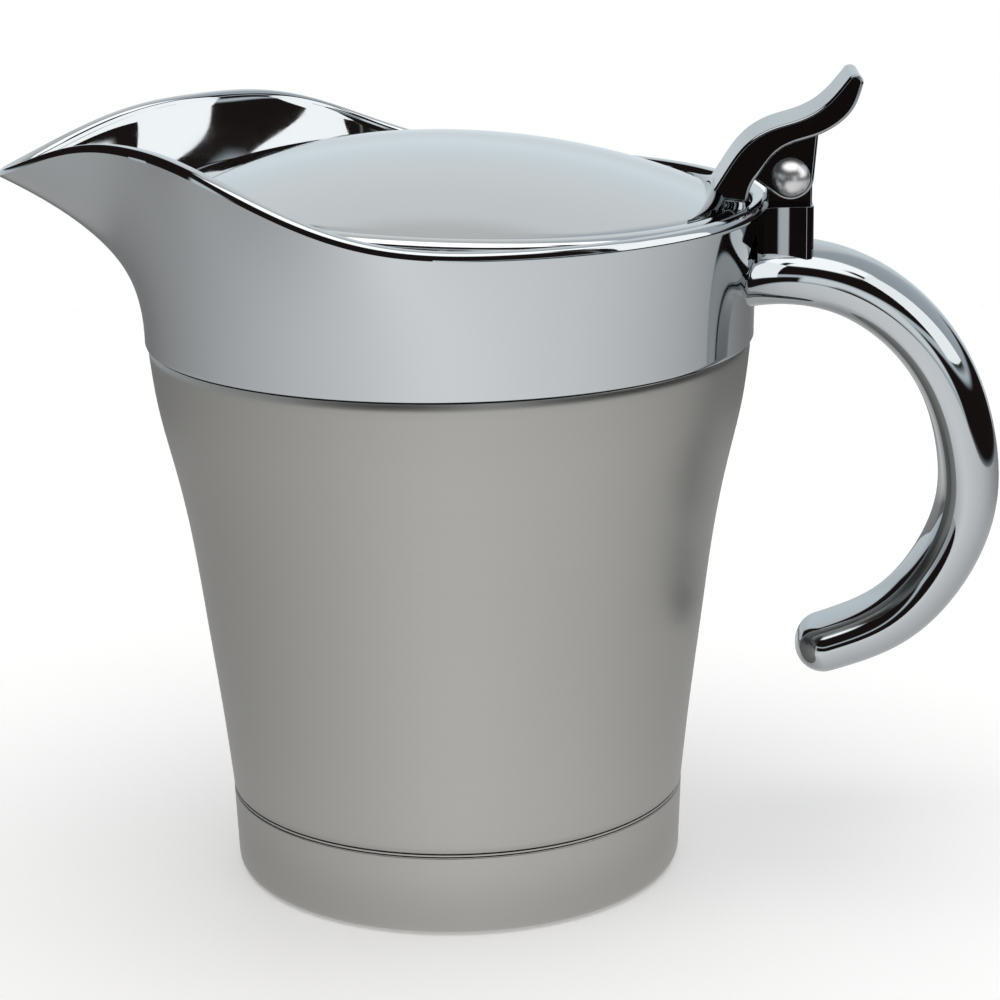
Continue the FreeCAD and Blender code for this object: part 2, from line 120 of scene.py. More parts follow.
# ---- lid
LID_TILT = math.radians(2.4)
LID_RADIUS = dome_high.y
LID_CENTRE = (dome_low.x + dome_high.x) / 2
BRIM_DROP = 1.0
LID_EDGE = dome_low.z + BRIM_DROP + LID_RADIUS * math.sin(LID_TILT)
BRIM_WIDTH = 2.9
BRIM_RISE = 0.95
DOME_RISE = 8.6
BRIM_ROLL = 2.3             # how wide the rolled edge of the brim is, and how far it falls
BRIM_FALL = 1.5
SEAT_INNER = 47.0
SEAT_OUTER = 51.2
SEAT_THICKNESS = 1.4
WING_INNER_RADIUS = 95.0    # arc of the crescent's front edge, and its centre's x
WING_INNER_CENTRE = -51.0
WING_TIP_ANGLE = 33.0
WING_HEIGHT = 2.2
WING_TIP_HEIGHT = 0.3

# ---- hinge and handle
PIN_X = (bush_low.x + bush_high.x) / 2
PIN_Z = (bush_low.z + bush_high.z) / 2
EAR_INNER = 4.8
EAR_OUTER = 7.6
EAR_RADIUS = 3.9
EAR_LEAN = 0.8              # how deep the ball's neck goes into the leaning ear
LEVER_HALF_WIDTH = lever_high.y
HANDLE_PATH = [(47.0, 105.9), (57.0, 105.8), (66.4, 104.0), (75.6, 98.8), (83.8, 89.2),
               (88.5, 76.2), (89.0, 64.5), (85.0, 53.6), (76.2, 43.8), (64.8, 38.9)]
HANDLE_HALF_WIDTH = 9.2
HANDLE_THICKNESS = 10.5
HANDLE_FLARE = 10.0
HANDLE_FLARE_REACH = 6.0
HANDLE_END_TAPER = 0.14
HANDLE_END_ROUNDING = 5.0
HANDLE_SECTION = [(0, 1), (0.55, 0.86), (0.92, 0.36), (0.98, -0.25), (0.72, -0.86), (0.30, -1)]
PIN_RADIUS = 1.5
BALL_OUT = 1.0              # from the ear's outer face to the middle of the ball
LEVER_DRAFT = 0.06          # lean of the lever's sides, and of its ears, per mm of height
EAR_DRAFT = 0.1
LEVER_TOP = [(43.6, 118.6), (46.6, 123.3), (50.0, 127.9), (54.4, 130.7), (58.6, 132.0),
             (62.4, 133.9), (65.2, 136.6), (66.8, 138.6)]
LEVER_LOW = [(69.2, 137.4), (67.8, 133.8), (65.0, 131.0), (61.6, 129.3), (58.0, 128.2),
             (55.2, 126.6), (52.9, 123.8), (51.2, 121.4), (50.4, 118.4)]
EAR_FRONT = [(51.4, 122.2)]
EAR_TOP = [(62.2, 130.0), (57.6, 130.0), (52.6, 126.6)]
POST_HALF_WIDTH = 7.8
POST_FLARE = [(49.0, 14.0), (51.4, 10.8), (54.0, 8.6), (57.2, POST_HALF_WIDTH)]
POST_EDGE = 1.2             # rounding of its rear edges, seen from above
POST_TOP = 117.4
POST_DRAFT = 0.9            # how far its sides lean in
LUG_RADIUS = 3.8
LUG_HALF_WIDTH = 4.0

# ---- studio, in metres and degrees
FLOOR_RADIUS = 0.5
PANEL_X = 0.30              # upright panel to the right
PANEL_Y = (-0.16, 0.057)
PANEL_Z = (0.15, 0.44)


# ------------------------------------------------------------------ curves and skins

def spline(points, count, closed=False):
    """Evenly spread points on the smooth curve through the given ones."""
    knots = np.array(points, float)
    if closed:
        knots = np.vstack([knots, knots[:1]])
    step = np.linalg.norm(np.diff(knots, axis=0), axis=1)
    along = np.concatenate([[0.0], np.cumsum(step)])
    slope = np.diff(knots, axis=0) / step[:, None]
    last = len(knots) - 1
    system = np.zeros((last + 1, last + 1))
    right = np.zeros(knots.shape)
    for i in range(1, last):
        system[i, i - 1:i + 2] = step[i - 1], 2 * (step[i - 1] + step[i]), step[i]
        right[i] = 6 * (slope[i] - slope[i - 1])
    if closed:
        system[0, 0] = 1
        system[0, last] = -1
        system[last, [0, 1, last - 1, last]] = 2 * step[0], step[0], step[-1], 2 * step[-1]
        right[last] = 6 * (slope[0] - slope[-1])
    else:
        system[0, 0] = 1
        system[last, last] = 1
    bend = np.linalg.solve(system, right)
    curve = []
    for place in np.linspace(0, along[-1], count, endpoint=not closed):
        i = min(int(np.searchsorted(along, place, side="right")) - 1, last - 1)
        a = (along[i + 1] - place) / step[i]
        b = 1 - a
        cubic = (a ** 3 - a) * bend[i] + (b ** 3 - b) * bend[i + 1]
        curve.append(a * knots[i] + b * knots[i + 1] + cubic * step[i] ** 2 / 6)
    return np.array(curve)


def rounded(corners, steps=5):
    """Closed outline of (across, up, rounding) corners with each one eased."""
    outline = []
    for i, (across, up, rounding) in enumerate(corners):
        here = np.array((across, up), float)
        if rounding == 0:
            outline.append(here)
            continue
        before = np.array(corners[i - 1][:2], float) - here
        after = np.array(corners[(i + 1) % len(corners)][:2], float) - here
        start = here + before / np.linalg.norm(before) * rounding
        end = here + after / np.linalg.norm(after) * rounding
        for s in np.linspace(0, 1, steps + 1):
            outline.append((1 - s) ** 2 * start + 2 * s * (1 - s) * here + s ** 2 * end)
    return outline


def skin(rings, loop=False, caps=False, ring_closed=True):
    """Points and faces of a surface through rings of equal length."""
    count = len(rings[0])
    points = [Vector(p) for ring in rings for p in ring]
    faces = []
    columns = count if ring_closed else count - 1
    for row in range(len(rings) if loop else len(rings) - 1):
        below = row * count
        above = (row + 1) % len(rings) * count
        for i in range(columns):
            j = (i + 1) % count
            faces.append((below + i, below + j, above + j, above + i))
    if caps:
        faces.append(tuple(range(count)))
        faces.append(tuple(range(len(points) - 1, len(points) - count - 1, -1)))
    return points, faces


def turned(profile, centre=0.0, start=0.0, end=360.0, turns=TURNS):
    """Surface of revolution of a closed (radius, height) outline, or part of one with its ends closed."""
    whole = end - start >= 360
    rings = []
    for angle in np.linspace(math.radians(start), math.radians(end), turns, endpoint=not whole):
        rings.append([(centre + r * math.cos(angle), r * math.sin(angle), z) for r, z in profile])
    return skin(rings, loop=whole, caps=not whole)


def about_y(profile, x, z, turns=96):
    """Surface of revolution about the hinge's axis of a closed (radius, y) outline."""
    rings = []
    for angle in np.linspace(0, 2 * math.pi, turns, endpoint=False):
        rings.append([(x + r * math.cos(angle), y, z + r * math.sin(angle)) for r, y in profile])
    return skin(rings, loop=True)


def moved(shape, matrix):
    points, faces = shape
    return [matrix @ p for p in points], faces


def tipped(shape):
    """Tilt a lid shape with the lid, about the lid's centre."""
    centre = Vector((LID_CENTRE, 0, LID_EDGE))
    turn = Matrix.Translation(centre) @ Matrix.Rotation(LID_TILT, 4, "Y") @ Matrix.Translation(-centre)
    return moved(shape, turn)


def piece(name, shapes, material, body, nodes=(), crease=40, bevel=0.0):
    """A mesh piece in the frame, made of one or more shapes given in millimetres."""
    build = bmesh.new()
    for points, faces in shapes:
        verts = [build.verts.new(Vector(p) * MM) for p in points]
        for face in faces:
            build.faces.new([verts[i] for i in face])
    bmesh.ops.remove_doubles(build, verts=build.verts, dist=1e-6)
    bmesh.ops.dissolve_degenerate(build, edges=build.edges, dist=1e-7)
    bmesh.ops.recalc_face_normals(build, faces=build.faces)
    mesh = bpy.data.meshes.new(name)
    build.to_mesh(mesh)
    build.free()
    obj = bpy.data.objects.new(name, mesh)
    bpy.context.collection.objects.link(obj)
    mesh.materials.append(material)
    if bevel:
        edge = obj.modifiers.new("edge", "BEVEL")
        edge.width = bevel * MM
        edge.segments = 4
        edge.limit_method = "ANGLE"
        edge.angle_limit = math.radians(crease)
        edge.harden_normals = True
    mesh.shade_smooth()
    mesh.set_sharp_from_angle(angle=math.radians(crease))
    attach(obj, body)
    if nodes:
        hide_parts(*nodes)
    return obj


# ------------------------------------------------------------------ materials

def new_material(name):
    material = bpy.data.materials.new(name)
    material.use_nodes = True
    tree = material.node_tree
    return material, tree, tree.nodes["Principled BSDF"]


def add_node(tree, kind, links=None, **settings):
    """A node with its settings, and its inputs either linked or set."""
    node = tree.nodes.new(kind)
    for key, value in settings.items():
        setattr(node, key, value)
    for key, value in (links or {}).items():
        if isinstance(value, bpy.types.NodeSocket):
            tree.links.new(value, node.inputs[key])
        else:
            node.inputs[key].default_value = value
    return node


def noise(tree, scale, stretch=(1, 1, 1), detail=3):
    """Noise over the piece itself, stretched as a brush or mould would leave it."""
    place = add_node(tree, "ShaderNodeTexCoord")
    mapping = add_node(tree, "ShaderNodeMapping",
                       {"Vector": place.outputs["Object"], "Scale": stretch})
    texture = add_node(tree, "ShaderNodeTexNoise",
                       {"Vector": mapping.outputs["Vector"], "Scale": scale, "Detail": detail})
    return texture.outputs["Fac"]


def spread(tree, source, low, high):
    """Noise values mapped to a range."""
    mapped = add_node(tree, "ShaderNodeMapRange",
                      {"Value": source, "From Min": 0.3, "From Max": 0.7,
                       "To Min": low, "To Max": high})
    return mapped.outputs["Result"]


def tinted(tree, source, dark, light):
    """Colour that drifts between two near neighbours."""
    mix = add_node(tree, "ShaderNodeMix", {0: source, 6: (*dark, 1), 7: (*light, 1)},
                   data_type="RGBA")
    return mix.outputs[2]


def bump(tree, source, strength, distance):
    node = add_node(tree, "ShaderNodeBump",
                    {"Height": source, "Strength": strength, "Distance": distance})
    return node.outputs["Normal"]


def scaled(colour, factor):
    return tuple(channel * factor for channel in colour)


def chrome(name, colour, roughness, waviness=0.04):
    """Plated metal: a near mirror with the slight waviness of the casting under it."""
    material, tree, shader = new_material(name)
    shader.inputs["Metallic"].default_value = 1.0
    cloud = noise(tree, 60)
    tree.links.new(tinted(tree, cloud, scaled(colour, 0.97), colour), shader.inputs["Base Color"])
    haze = noise(tree, 400, detail=5)
    tree.links.new(spread(tree, haze, roughness * 0.7, roughness * 1.3), shader.inputs["Roughness"])
    ripple = noise(tree, 45, detail=1)
    tree.links.new(bump(tree, ripple, waviness, 0.0004), shader.inputs["Normal"])
    return material


def satin_steel(name, colour, roughness, grain, lines=0.03, anisotropy=0.0, variation=0.04):
    """Brushed steel; grain stretches the brush marks along x, y and z."""
    material, tree, shader = new_material(name)
    shader.inputs["Metallic"].default_value = 1.0
    marks = noise(tree, 1.0, stretch=grain, detail=4)
    cloud = noise(tree, 35)
    tint = tinted(tree, cloud, scaled(colour, 1 - variation), colour)
    tree.links.new(tint, shader.inputs["Base Color"])
    tree.links.new(spread(tree, marks, roughness * 0.95, roughness * 1.05),
                   shader.inputs["Roughness"])
    tree.links.new(bump(tree, marks, lines, 0.00002), shader.inputs["Normal"])
    if anisotropy:
        shader.inputs["Anisotropic"].default_value = anisotropy
        tangent = add_node(tree, "ShaderNodeTangent", direction_type="RADIAL", axis="Z")
        tree.links.new(tangent.outputs["Tangent"], shader.inputs["Tangent"])
    return material


def moulded(name, colour, roughness):
    """Soft moulded plastic or silicone."""
    material, tree, shader = new_material(name)
    cloud = noise(tree, 180)
    tree.links.new(tinted(tree, cloud, scaled(colour, 0.9), colour), shader.inputs["Base Color"])
    tree.links.new(spread(tree, noise(tree, 900), roughness * 0.85, roughness * 1.15),
                   shader.inputs["Roughness"])
    tree.links.new(bump(tree, noise(tree, 2500), 0.1, 0.00005), shader.inputs["Normal"])
    return material


AROUND = (30, 30, 2600)     # brush marks that run round a turned piece
CHROME_COLOUR = (0.435, 0.455, 0.468)
# painted light and shade: the lid gets a lighter and the handle a darker copy of the collar's chrome
LID_COLOUR = (0.50, 0.52, 0.53)
HANDLE_COLOUR = (0.39, 0.41, 0.422)
# painted shade: the lever, crescent, post and lug get a much darker copy of the same chrome, for how dark
# they look
HINGE_SHADED_CHROME_COLOUR = (0.25, 0.265, 0.275)
STEEL_COLOUR = (0.335, 0.33, 0.315)

body_steel = satin_steel("body_steel", STEEL_COLOUR, 0.34, AROUND, anisotropy=0.7)
foot_steel = satin_steel("foot_steel", STEEL_COLOUR, 0.34, AROUND, anisotropy=0.7)
liner_steel = satin_steel("liner_steel", (0.5, 0.49, 0.47), 0.24, AROUND, anisotropy=0.5)
seal_rubber = moulded("seal_rubber", (0.55, 0.56, 0.56), 0.5)
collar_chrome = chrome("collar_chrome", CHROME_COLOUR, 0.045)
handle_chrome = chrome("handle_chrome", HANDLE_COLOUR, 0.04)
# painted shade: the darker chrome copy used on the hinge pieces
hinge_chrome = chrome("hinge_chrome", HINGE_SHADED_CHROME_COLOUR, 0.045)
lid_chrome = chrome("lid_chrome", LID_COLOUR, 0.05, 0.02)
pan_steel = satin_steel("pan_steel", (0.5, 0.49, 0.47), 0.28, (900, 900, 30))
pin_steel = satin_steel("pin_steel", (0.55, 0.54, 0.54), 0.34, (700, 700, 700), lines=0.1)
screw_steel = satin_steel("screw_steel", (0.45, 0.45, 0.45), 0.3, (900, 900, 900))
nylon = moulded("nylon", (0.75, 0.74, 0.70), 0.45)


# ------------------------------------------------------------------ body

def body_wall(inset):
    height = shell_high.z - WALL_START
    return [(share * SEAM_RADIUS - inset, WALL_START + up * height) for up, share in BODY_SHAPE]


def bead_between_lines(flush, spigot):
    """The groove over the foot: a flush bead with a fine dark line above and below it."""
    gap = WALL_START - foot_high.z
    low = foot_high.z + 0.22 * gap
    high = WALL_START - 0.22 * gap
    return [(spigot + 0.15, low), (flush - 0.15, low), (flush - 0.05, low + 0.08),
            (flush - 0.05, high - 0.08), (flush - 0.15, high), (spigot + 0.15, high),
            (spigot + 0.15, WALL_START), (flush - 0.15, WALL_START)]


def make_body():
    outside = spline(body_wall(0), 70)
    inside = spline(body_wall(SHEET), 40)[::-1]
    spigot = foot_high.x - SHEET - 0.1
    top = shell_high.z
    roll = [(SEAM_RADIUS, top - 0.2), (SEAM_RADIUS - 0.05, top - 0.06),
            (SEAM_RADIUS - 0.2, top), (SEAM_RADIUS - SHEET, top)]
    flush = foot_high.x
    hem = [(spigot - SHEET, WALL_START), (spigot - SHEET, shell_low.z), (spigot, shell_low.z),
           (spigot, foot_high.z), *bead_between_lines(flush, spigot)]
    profile = [(outside[0][0], WALL_START + 0.15), *outside[1:], *roll, *inside[:-1], *hem]
    return piece("body_shell", [turned(profile)], body_steel, "vessel",
                 ["outer_shell"])


def make_foot():
    wall = foot_high.x - SHEET - 0.1
    base = foot_low.z
    profile = rounded([
        (0, base, 0), (BEAD_INNER, base, 0.3), (BEAD_INNER + 1, base + SHEET, 0.4),
        (BEAD_OUTER - 1, base + SHEET, 0.4), (BEAD_OUTER, base, 0.3),
        (foot_high.x - 0.55, base, 2.2), (foot_high.x, foot_high.z, 0.3),
        (wall, foot_high.z, 0.2), (wall - 0.5, base + SHEET, 1.6),
        (BEAD_OUTER + 0.4, base + SHEET, 0.3), (BEAD_OUTER - 0.6, base + 2 * SHEET, 0.3),
        (BEAD_INNER + 0.4, base + 2 * SHEET, 0.3), (BEAD_INNER - 0.6, base + SHEET, 0.3),
        (0, base + SHEET, 0)])
    return piece("foot_cap", [turned(profile)], foot_steel, "vessel", ["base_cap"])


def liner_face(offset):
    floor = liner_low.z - offset
    side = [(r + offset, z) for r, z in LINER_SHAPE]
    bend_radius, bend_height = side[0]
    corner = []
    for angle in np.linspace(-math.pi / 2, 0, 10)[:-1]:
        corner.append((bend_radius - LINER_CORNER + LINER_CORNER * math.cos(angle),
                       bend_height + (bend_height - floor) * math.sin(angle)))
    return [(0, floor), *corner, *spline(side, 40)]


def make_liner():
    top = liner_high.z
    outside = liner_face(0)
    inside = liner_face(-SHEET)[::-1]
    flange = liner_high.x
    rim = [(MOUTH_RADIUS + 0.3, top - SHEET - 0.5), (MOUTH_RADIUS + 0.8, top - SHEET),
           (flange - 0.2, top - SHEET), (flange, top - SHEET + 0.2), (flange, top - 0.2),
           (flange - 0.2, top), (MOUTH_RADIUS + 0.5, top), (MOUTH_RADIUS - 0.1, top - 0.35)]
    return piece("gravy_liner", [turned([*outside, *rim, *inside])], liner_steel, "vessel",
                 ["inner_liner"])


def make_seal():
    low = seal_low.z
    high = seal_high.z
    profile = rounded([(MOUTH_RADIUS, low, 0.3), (seal_high.x, low, 0.3), (seal_high.x, high, 0.3),
                       (MOUTH_RADIUS, high, 0.3)], 3)
    return piece("rim_seal", [turned(profile)], seal_rubber, "vessel", ["liner_seal"])


# ------------------------------------------------------------------ collar

def side_flare(angle):
    return SIDE_FLARE * math.exp(-((angle - SIDE_FLARE_AT) / SIDE_FLARE_SPREAD) ** 2)


def beak(angle):
    return math.exp(0.07 - ((angle / BEAK_SPREAD) ** 2 + BEAK_BLUNT) ** BEAK_POWER)


BEAK_LENGTH = (-collar_low.x - REAR_RADIUS - side_flare(0)) / beak(0)


def rim_radius(angle):
    """Plan radius of the rim; the angle is in degrees from the spout."""
    return REAR_RADIUS + side_flare(angle) + BEAK_LENGTH * beak(angle)


def rim_height(x):
    reach = RIM_SWELL_REAR if x > RIM_SWELL_AT else RIM_SWELL_FRONT
    return RIM_HEIGHT + RIM_SWELL * math.exp(-abs((x - RIM_SWELL_AT) / reach) ** 2.4)


def collar_ring(rise, inset, drop=LIP_DROP):
    """Ring on the collar: rise 0 is its foot and 1 its rim."""
    ring = []
    for step in range(RING_STEPS):
        turn = 360.0 * step / RING_STEPS
        angle = min(turn, 360.0 - turn)
        top = rim_radius(angle)
        crest = rim_height(-top * math.cos(math.radians(angle))) - drop
        radius = COLLAR_FOOT_RADIUS + (top - COLLAR_FOOT_RADIUS) * rise ** FLARE_POWER - inset
        spin = math.radians(180.0 - turn)
        ring.append((radius * math.cos(spin), radius * math.sin(spin),
                     COLLAR_BOTTOM + (crest - COLLAR_BOTTOM) * rise))
    return ring


def collar_section():
    """(rise, inset, drop) from the foot up the outside, over the rolled lip and down inside."""
    section = [(0.0, 0.35, LIP_DROP), (0.002, 0.12, LIP_DROP), (0.012, 0.0, LIP_DROP)]
    section += [(rise, 0.0, LIP_DROP) for rise in np.linspace(0.03, 1, 40)]
    section += [(1.0, inset, drop) for inset, drop in spline(LIP_SHAPE, 26)[1:-1]]
    section += [(rise, COLLAR_WALL + (LIP_WIDTH - COLLAR_WALL) * rise ** 8, LIP_DROP)
                for rise in np.linspace(1, 0, 36)]
    return section


def lid_seat(start, end):
    top = LID_EDGE - BRIM_DROP - 0.15
    low = top - SEAT_THICKNESS
    outer = SEAT_OUTER + 1.2
    profile = rounded([(SEAT_INNER, low, 0.3), (outer, low, 0), (outer, top, 0),
                       (SEAT_INNER, top, 0.3)], 3)
    return tipped(turned(profile, LID_CENTRE, start, end, 80))


def make_collar():
    wall = skin([collar_ring(*station) for station in collar_section()], loop=True)
    inner = COLLAR_FOOT_RADIUS - COLLAR_WALL
    low = seal_high.z
    flange = rounded([(MOUTH_RADIUS - 0.5, low, 0.4), (inner + 0.6, low, 0),
                      (inner + 0.6, low + 1.6, 0), (MOUTH_RADIUS - 0.5, low + 1.6, 0.4)], 3)
    seats = [lid_seat(11, 74), lid_seat(-74, -11)]
    return piece("spout_rim", [wall, turned(flange), *seats], collar_chrome, "vessel",
                 ["spout_collar"])


def collar_wall_radius(height):
    """Outer radius of the collar's rear half at a height."""
    rise = max((height - COLLAR_BOTTOM) / (RIM_HEIGHT - LIP_DROP - COLLAR_BOTTOM), 0)
    return COLLAR_FOOT_RADIUS + (REAR_RADIUS - COLLAR_FOOT_RADIUS) * rise ** FLARE_POWER


# ------------------------------------------------------------------ handle

def handle_section(centre, outward, half_width, thickness):
    """Cross-section: crowned outside, flatter inside, rounded sides."""
    side = [(w * half_width, t * thickness / 2) for w, t in HANDLE_SECTION]
    loop = side + [(-w, t) for w, t in reversed(side[1:])]
    return [centre + outward * t + Vector((0, w, 0)) for w, t in spline(loop, 72, closed=True)]


def make_handle():
    path = [Vector((x, 0, z)) for x, z in spline(HANDLE_PATH, 181)]
    travel = 0.0
    travels = [0.0]
    for a, b in zip(path, path[1:]):
        travel += (b - a).length
        travels.append(travel)
    sections = []
    for i, centre in enumerate(path):
        forward = (path[min(i + 1, len(path) - 1)] - path[max(i - 1, 0)]).normalized()
        outward = Vector((-forward.z, 0, forward.x))
        flare = math.exp(-(travels[i] / HANDLE_FLARE_REACH) ** 1.4)
        taper = 1 - HANDLE_END_TAPER * (travels[i] / travel) ** 2
        ring = handle_section(centre, outward, (HANDLE_HALF_WIDTH + HANDLE_FLARE * flare) * taper,
                              HANDLE_THICKNESS * taper)
        sections.append(ring)
    sections = trimmed_root(sections)
    for angle in np.linspace(0, math.pi / 2, 12)[1:]:
        size = max(math.cos(angle), 0.02)
        end = centre + forward * HANDLE_END_ROUNDING * math.sin(angle)
        sections.append(handle_section(end, outward, HANDLE_HALF_WIDTH * taper * size,
                                       HANDLE_THICKNESS * taper * size))
    return piece("c_handle", [skin(sections, caps=True)], handle_chrome, "vessel",
                 ["handle"])


def trimmed_root(sections):
    """Pull the points of the handle that would be inside the collar back to its wall."""
    trimmed = []
    for ring in sections:
        held = []
        for p in ring:
            wall = collar_wall_radius(p.z) - GAP
            reach = math.sqrt(max(wall ** 2 - p.y ** 2, 0))
            held.append(Vector((max(p.x, reach), p.y, p.z)))
        trimmed.append(held)
    inside = [i for i, ring in enumerate(trimmed)
              if all(abs(a.x - b.x) > 1e-9 for a, b in zip(ring, sections[i]))]
    return trimmed[inside[-1]:] if inside else trimmed


# ------------------------------------------------------------------ lid

def dome_curve():
    foot = LID_RADIUS - BRIM_WIDTH
    return foot, (foot ** 2 + DOME_RISE ** 2) / (2 * DOME_RISE)


def dome_arc(offset, count=40):
    """Crown of the lid from its middle to the brim, moved out by the offset."""
    foot, curve = dome_curve()
    middle = LID_EDGE + BRIM_RISE + DOME_RISE - curve
    end_angle = math.asin(foot / curve)
    return [((curve + offset) * math.sin(a), middle + (curve + offset) * math.cos(a))
            for a in np.linspace(0, end_angle, count)]


def make_dome():
    crown = dome_arc(0)
    under = dome_arc(-SHEET)
    foot, shoulder = crown[-1]
    edge = LID_RADIUS
    brim = [(foot + 0.1, shoulder - 0.06), (foot + 0.3, shoulder - 0.02)]
    brim += [(edge - BRIM_ROLL + BRIM_ROLL * math.sin(a), shoulder - BRIM_FALL * (1 - math.cos(a)))
             for a in np.linspace(0.12, math.pi / 2, 14)]
    brim += [(edge, LID_EDGE - BRIM_DROP), (edge - SHEET, LID_EDGE - BRIM_DROP),
             (edge - SHEET, LID_EDGE - 0.5)]
    profile = [*crown, *brim, *under[::-1]]
    return piece("lid_crown", [tipped(turned(profile, LID_CENTRE))], lid_chrome, "lid",
                 ["lid_dome"])


def make_pan():
    low = LID_EDGE - BRIM_DROP
    rim = LID_RADIUS - SHEET
    profile = rounded([(0, low - 0.6, 0), (rim - 5, low - 0.6, 0.8), (rim - 3.4, low, 0.5),
                       (rim, low, 0), (rim, low + 0.45, 0), (rim - 3.6, low + 0.45, 0.5),
                       (rim - 5.2, low + 0.2, 0.5), (0, low + 0.2, 0)], 4)
    return piece("lid_inner_pan", [tipped(turned(profile, LID_CENTRE))], pan_steel, "lid",
                 ["lid_pan"])


def wing_inner(angle):
    """Distance from the lid's centre to the crescent's front edge, in one direction."""
    offset = LID_CENTRE - WING_INNER_CENTRE
    along = offset * math.cos(angle)
    return -along + math.sqrt(WING_INNER_RADIUS ** 2 - offset ** 2 + along ** 2)


def make_wing():
    """Crescent that rises from thin tips to the lever's foot."""
    foot, curve = dome_curve()
    middle = LID_EDGE + BRIM_RISE + DOME_RISE - curve
    rings = []
    for turn in np.linspace(-1, 1, 121):
        angle = math.radians(WING_TIP_ANGLE * turn)
        inner = min(wing_inner(angle), foot - 0.05)
        height = WING_TIP_HEIGHT + WING_HEIGHT * math.exp(-(turn / 0.5) ** 2)
        top = []
        for share in np.linspace(0, 1, 13):
            radius = inner + (foot - inner) * share
            bulge = (1 - abs(2 * share - 1) ** 2.6) * height
            skirt = -0.1 if share in (0, 1) else 0.0
            base = middle + math.sqrt(curve ** 2 - radius ** 2)
            top.append((radius, base + bulge + skirt))
        under = [(r, middle + math.sqrt(curve ** 2 - r ** 2) - 0.1) for r, z in top[-2:0:-1]]
        rings.append([(LID_CENTRE + r * math.cos(angle), r * math.sin(angle), z)
                      for r, z in top + under])
    return piece("lid_crescent", [tipped(skin(rings, caps=True))], hinge_chrome, "lid",
                 ["lid_wing"])


def slab(outline, y_low, y_high, draft=0.0):
    """A side outline given a width; the draft leans its outer faces in towards the top."""
    bottom = min(z for x, z in outline)
    inward = {y_low: draft if y_low < -EAR_INNER else 0, y_high: -draft if y_high > EAR_INNER else 0}
    rings = [[(x, y + inward[y] * (z - bottom), z) for x, z in outline] for y in (y_low, y_high)]
    return skin(rings, caps=True)


def lever_outline():
    top = spline(LEVER_TOP, 36)
    low = spline(LEVER_LOW, 36)
    tip_centre = (Vector(top[-1]) + Vector(low[0])) / 2
    radius = (Vector(top[-1]) - tip_centre).length
    start = math.atan2(top[-1][1] - tip_centre.y, top[-1][0] - tip_centre.x)
    tip = [(tip_centre.x + radius * math.cos(start - a), tip_centre.y + radius * math.sin(start - a))
           for a in np.linspace(0, math.pi, 9)[1:-1]]
    return [*top, *tip, *low]


def ear_outline():
    angles = np.radians(np.linspace(235, 360, 20))
    round_end = [(PIN_X + EAR_RADIUS * math.cos(a), PIN_Z + EAR_RADIUS * math.sin(a)) for a in angles]
    return [*EAR_FRONT, *round_end, *EAR_TOP]


def make_lever():
    blade = slab(lever_outline(), -LEVER_HALF_WIDTH, LEVER_HALF_WIDTH, LEVER_DRAFT)
    piece("lever_blade", [blade], hinge_chrome, "lid", ["thumb_lever"], bevel=1.3)
    ears = [slab(ear_outline(), EAR_INNER, EAR_OUTER, EAR_DRAFT),
            slab(ear_outline(), -EAR_OUTER, -EAR_INNER, EAR_DRAFT)]
    piece("lever_ears", ears, hinge_chrome, "lid", bevel=0.45)


# ------------------------------------------------------------------ hinge

def ball_profile(side):
    """Outline of a round head, from the ear's outer face to its tip; side is -1 or 1."""
    ball_radius = abs(pin_low.y) - EAR_OUTER - BALL_OUT
    middle = EAR_OUTER + BALL_OUT
    start = math.asin(-BALL_OUT / ball_radius)
    return [(ball_radius * math.cos(a), side * (middle + ball_radius * math.sin(a)))
            for a in np.linspace(start, math.pi / 2, 24)]


def make_pin():
    neck = EAR_OUTER - EAR_LEAN
    head = ball_profile(-1)[::-1]
    pin = [(0, pin_low.y), *head, (head[-1][0], -neck), (PIN_RADIUS, -neck),
           (PIN_RADIUS, pin_high.y), (0, pin_high.y)]
    piece("hinge_ball_pin", [about_y(pin, PIN_X, PIN_Z)], pin_steel, "lid",
          ["hinge_pin"])
    cap = ball_profile(1)
    nut = [*cap, (0, nut_high.y), (0, pin_high.y), (PIN_RADIUS, pin_high.y), (PIN_RADIUS, neck),
           (cap[0][0], neck)]
    piece("hinge_ball_nut", [about_y(nut, PIN_X, PIN_Z)], pin_steel, "lid",
          ["pin_nut"])


def post_plan():
    """Plan of the post, from the collar's far side round the rear to its near side."""
    rear = post_high.x
    half = [*spline(POST_FLARE, 16), (POST_FLARE[-1][0] + 0.6, POST_HALF_WIDTH),
            (rear - POST_EDGE - 0.4, POST_HALF_WIDTH), (rear - POST_EDGE, POST_HALF_WIDTH),
            (rear - 0.35, POST_HALF_WIDTH - 0.35), (rear, POST_HALF_WIDTH - POST_EDGE)]
    return [*half, *[(x, -y) for x, y in reversed(half)]]


